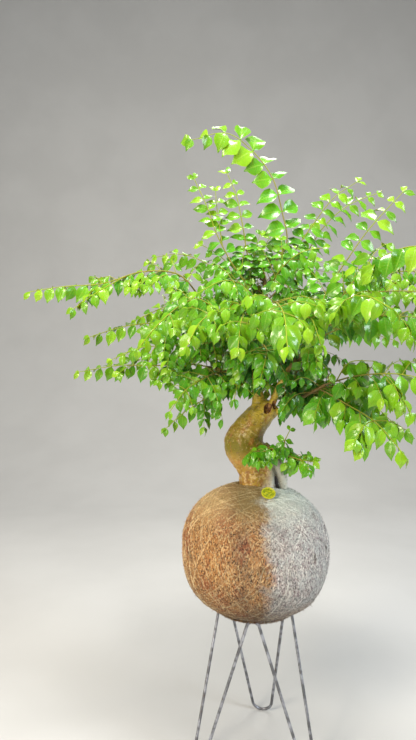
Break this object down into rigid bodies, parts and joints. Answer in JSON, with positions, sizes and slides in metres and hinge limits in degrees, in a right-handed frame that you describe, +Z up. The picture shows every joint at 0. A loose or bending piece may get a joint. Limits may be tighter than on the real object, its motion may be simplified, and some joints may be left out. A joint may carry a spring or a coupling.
{
  "type": "kokedama plant on a hairpin stand",
  "caption": "Small-leaved bonsai tree growing out of a coir-wrapped soil ball that rests in the ring of a steel hairpin stand.",
  "frame": {"origin": "on the floor, under the middle of the stand's ring and of the foliage", "axes": "+Z up through the ball and the tree; the pictured front looks towards -Y, and +X is to its right"},
  "size_m": [0.6906, 0.5478, 0.9625],
  "materials": {
    "leaf": "glossy leaf on a yellow-green stem",
    "bark": "smooth olive and ochre bark",
    "coir": "coir fibre bound with fine thread",
    "soil": "dark fibrous soil",
    "steel": "dark ribbed bar",
    "tag": "satin yellow-green, blank"
  },
  "bodies": {
    "root": {"stand_ring": "steel", "leg_back": "steel", "leg_left": "steel", "leg_right": "steel", "soil_ball": "soil", "coir_cover": "coir", "tag_disc": "tag", "trunk": "bark", "shoot_top_tall": "leaf", "shoot_top_a": "leaf", "shoot_top_b": "leaf", "shoot_top_mid": "leaf", "shoot_top_right": "leaf", "shoot_top_far": "leaf", "shoot_right_tuft": "leaf", "shoot_left_high": "leaf", "shoot_front_high": "leaf", "shoot_left_long": "leaf", "shoot_left_tuft": "leaf", "shoot_left_arch": "leaf", "shoot_left_mid": "leaf", "shoot_left_young": "leaf", "shoot_left_straight": "leaf", "shoot_left_droop": "leaf", "shoot_left_under": "leaf", "shoot_hang_left": "leaf", "shoot_hang_front": "leaf", "shoot_front_left": "leaf", "shoot_front_mid": "leaf", "shoot_front_long": "leaf", "shoot_front_under": "leaf", "shoot_front_right": "leaf", "shoot_right_diag": "leaf", "shoot_right_arch": "leaf", "shoot_right_front": "leaf", "shoot_right_long": "leaf", "shoot_right_young": "leaf", "shoot_right_low": "leaf", "shoot_right_hang": "leaf", "shoot_right_side": "leaf", "shoot_right_inner": "leaf", "shoot_far_top": "leaf", "shoot_far_front": "leaf", "shoot_far_back": "leaf", "shoot_far_low": "leaf", "shoot_back_tall": "leaf", "shoot_back_long": "leaf", "shoot_back_right": "leaf", "shoot_back_mid": "leaf", "shoot_back_low": "leaf", "shoot_back_left_long": "leaf", "shoot_back_left_side": "leaf", "shoot_back_left_low": "leaf", "shoot_low_right": "leaf", "shoot_low_left": "leaf", "shoot_low_up": "leaf"}
  },
  "joints": []
}
